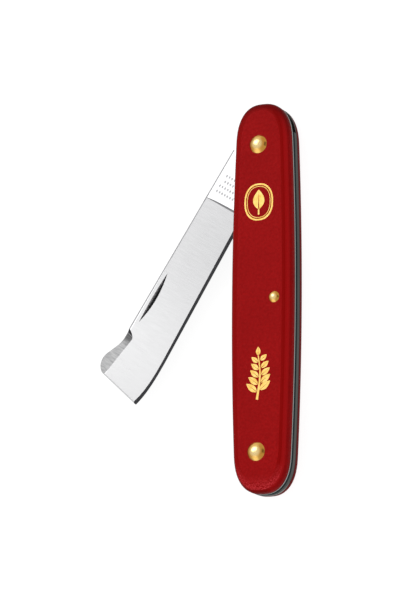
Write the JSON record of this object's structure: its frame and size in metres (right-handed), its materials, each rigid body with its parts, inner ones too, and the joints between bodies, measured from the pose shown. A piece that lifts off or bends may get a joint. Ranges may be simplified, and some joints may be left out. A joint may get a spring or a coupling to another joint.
{
  "type": "grafting knife",
  "caption": "Folding grafting knife: straight-backed blade with a rounded bark lifter near the tip, riveted plastic scales, steel liners and a back spring.",
  "frame": {"origin": "middle of the rear scale's flat outer face, at the middle of the handle", "axes": "+X toward the back spring, +Y toward the pivot end of the handle, +Z out through the marked front face; stored with the blade 32 degrees out from the handle"},
  "size_m": [0.0541, 0.1, 0.0112],
  "materials": {
    "scale": "red, finely grained and matte",
    "liner": "bright rolled sheet",
    "spring": "polished hardened steel",
    "blade": "fine-ground stainless steel",
    "rivet": "polished domes"
  },
  "bodies": {
    "handle": {"rear_scale": "scale", "rear_liner": "liner", "back_spring": "spring", "front_liner": "liner", "front_scale": "scale", "pivot_rivet": "rivet", "pivot_burr": "rivet", "tail_rivet": "rivet", "tail_burr": "rivet", "spring_rivet": "rivet"},
    "blade": {"blade": "blade"}
  },
  "joints": [
    {"name": "blade_pivot", "type": "hinge", "parent": "handle", "child": "blade", "pos_m": [-0.0006, 0.039, 0.00505], "axis": [0, 0, -1], "range_deg": [-28, 148]}
  ]
}
